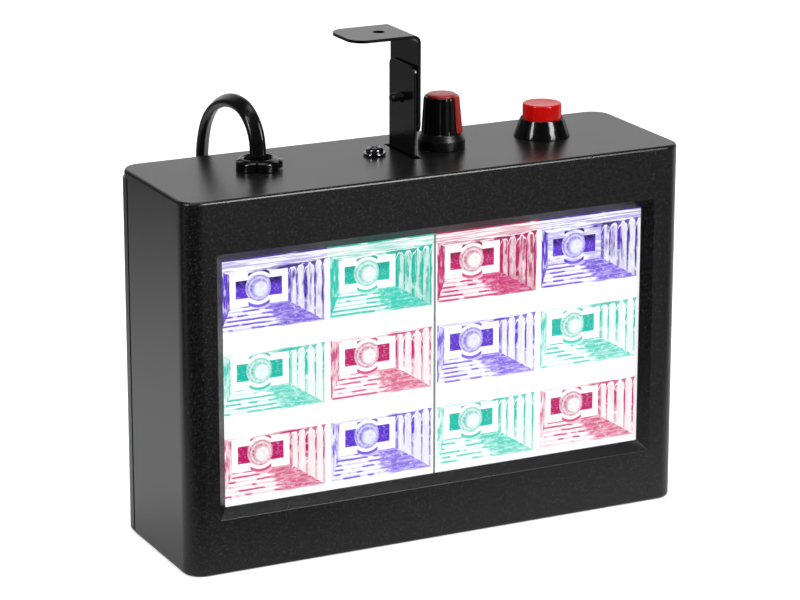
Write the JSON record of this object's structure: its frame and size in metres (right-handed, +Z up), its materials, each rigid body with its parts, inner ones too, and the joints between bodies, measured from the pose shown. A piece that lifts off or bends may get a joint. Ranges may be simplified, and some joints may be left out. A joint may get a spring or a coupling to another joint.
{
  "type": "strobe light",
  "caption": "Black plastic strobe light with coloured emitters in silvered cups behind a clear panel, a speed knob, a push button, a hanging bracket and a mains lead.",
  "frame": {"origin": "middle of the base of the case, on the surface that it stands on", "axes": "+Z up through the top with its controls, +X to the right along the long side as seen from the front, +Y from the window to the rear cover"},
  "size_m": [0.1805, 0.152, 0.1606],
  "materials": {
    "case_plastic": "moulded black ABS with a fine grain",
    "clear_panel": "clear polished sheet",
    "reflector_silver": "vacuum-metallised silver on moulded plastic",
    "emitter_purple": "lit purple lens",
    "emitter_teal": "lit teal lens",
    "emitter_pink": "lit pink lens",
    "board_white": "white solder mask on laminate",
    "board_green": "green solder mask on laminate",
    "transformer_core": "varnished laminations with a taped winding",
    "capacitor_sleeve": "shrunk sleeve on an aluminium can",
    "terminal_green": "moulded nylon",
    "plated_steel": "nickel-plated steel",
    "knob_plastic": "satin black moulding",
    "red_plastic": "glossy red moulding",
    "gloss_black": "glossy black moulding",
    "lead_jacket": "semi-gloss black PVC jacket",
    "pin_metal": "nickel-plated brass",
    "bracket_paint": "semi-gloss black stoved paint on sheet steel",
    "blackened_steel": "blackened steel",
    "wire_insulation": "insulated wire bundle"
  },
  "bodies": {
    "case": {"front_housing": "case_plastic", "rear_cover": "case_plastic", "clear_front_panel": "clear_panel", "reflector_left": "reflector_silver", "reflector_right": "reflector_silver", "led_r1c1": "emitter_purple", "led_r1c2": "emitter_teal", "led_r1c3": "emitter_pink", "led_r1c4": "emitter_purple", "led_r2c1": "emitter_teal", "led_r2c2": "emitter_pink", "led_r2c3": "emitter_purple", "led_r2c4": "emitter_teal", "led_r3c1": "emitter_pink", "led_r3c2": "emitter_purple", "led_r3c3": "emitter_teal", "led_r3c4": "emitter_pink", "led_board": "board_white", "driver_board": "board_green", "transformer": "transformer_core", "filter_capacitor": "capacitor_sleeve", "terminal_block": "terminal_green", "potentiometer_body": "plated_steel", "potentiometer_nut": "plated_steel", "button_housing": "gloss_black", "button_panel_nut": "plated_steel", "button_return_spring": "plated_steel", "button_contact_base": "knob_plastic", "strain_relief_body": "gloss_black", "strain_relief_clamp": "gloss_black", "inner_power_lead": "lead_jacket", "power_cord": "lead_jacket", "power_cord_coil": "lead_jacket", "plug_body": "lead_jacket", "plug_pin_near": "pin_metal", "plug_pin_far": "pin_metal", "lower_bracket": "bracket_paint", "pivot_screw": "plated_steel", "bracket_fixing_screw": "plated_steel", "bracket_fixing_nut": "plated_steel", "rear_cover_screw_1": "blackened_steel", "rear_cover_screw_2": "blackened_steel", "rear_cover_screw_3": "blackened_steel", "rear_cover_screw_4": "blackened_steel", "led_board_screw_1": "plated_steel", "led_board_screw_2": "plated_steel", "led_board_screw_3": "plated_steel", "led_board_screw_4": "plated_steel", "driver_board_screw_1": "plated_steel", "driver_board_screw_2": "plated_steel", "driver_board_screw_3": "plated_steel", "driver_board_screw_4": "plated_steel", "led_wires": "wire_insulation", "knob_wires": "wire_insulation", "button_wires": "wire_insulation"},
    "knob": {"speed_knob": "knob_plastic", "knob_pointer_cap": "red_plastic", "potentiometer_shaft": "plated_steel"},
    "button": {"button_cap": "red_plastic"},
    "bracket": {"upper_bracket": "bracket_paint"}
  },
  "joints": [
    {"name": "knob_turn", "type": "hinge", "parent": "case", "child": "knob", "pos_m": [0.01545, 0.0043, 0.121], "axis": [0, 0, 1], "range_deg": [-3, 297]},
    {"name": "button_press", "type": "slide", "parent": "case", "child": "button", "axis": [0, 0, -1], "range_m": [0, 0.0028], "stiffness_N_per_m": 400, "springref_m": -0.002, "deforming": ["button_return_spring"]},
    {"name": "bracket_tilt", "type": "hinge", "parent": "case", "child": "bracket", "pos_m": [0.003, 0.0043, 0.139], "axis": [1, 0, 0], "range_deg": [-90, 90]}
  ]
}
